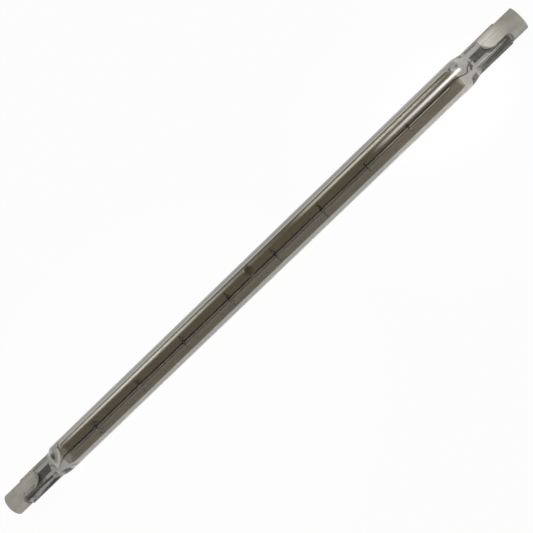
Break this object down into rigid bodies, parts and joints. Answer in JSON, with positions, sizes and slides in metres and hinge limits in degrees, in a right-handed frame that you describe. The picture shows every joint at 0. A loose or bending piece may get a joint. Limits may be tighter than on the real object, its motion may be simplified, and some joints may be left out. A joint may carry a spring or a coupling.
{
  "type": "linear halogen bulb",
  "caption": "Double-ended linear halogen lamp: a blackened quartz tube with a long coil on spiral supports, flat pinch seals and slotted ceramic end caps with recessed contacts.",
  "frame": {"origin": "middle of the lamp, on the axis of the quartz tube", "axes": "+X along the lamp towards its right-hand cap, Y across the flat pinches, +Z out of their flat faces"},
  "size_m": [0.254, 0.0118, 0.0124],
  "materials": {
    "quartz": "gloss",
    "tungsten": "satin",
    "lead_wire": "satin",
    "foil": "satin",
    "ceramic": "matte",
    "cement": "matte",
    "contact_metal": "satin"
  },
  "bodies": {
    "root": {"quartz_envelope": "quartz", "filament_coil": "tungsten", "filament_support_1": "tungsten", "filament_support_2": "tungsten", "filament_support_3": "tungsten", "filament_support_4": "tungsten", "filament_support_5": "tungsten", "filament_support_6": "tungsten", "filament_support_7": "tungsten", "filament_support_8": "tungsten", "inner_lead_left": "lead_wire", "inner_lead_right": "lead_wire", "outer_lead_left": "lead_wire", "outer_lead_right": "lead_wire", "foil_left": "foil", "foil_right": "foil", "ceramic_cap_left": "ceramic", "ceramic_cap_right": "ceramic", "cap_cement_left": "cement", "cap_cement_right": "cement", "contact_left": "contact_metal", "contact_right": "contact_metal"}
  },
  "joints": []
}
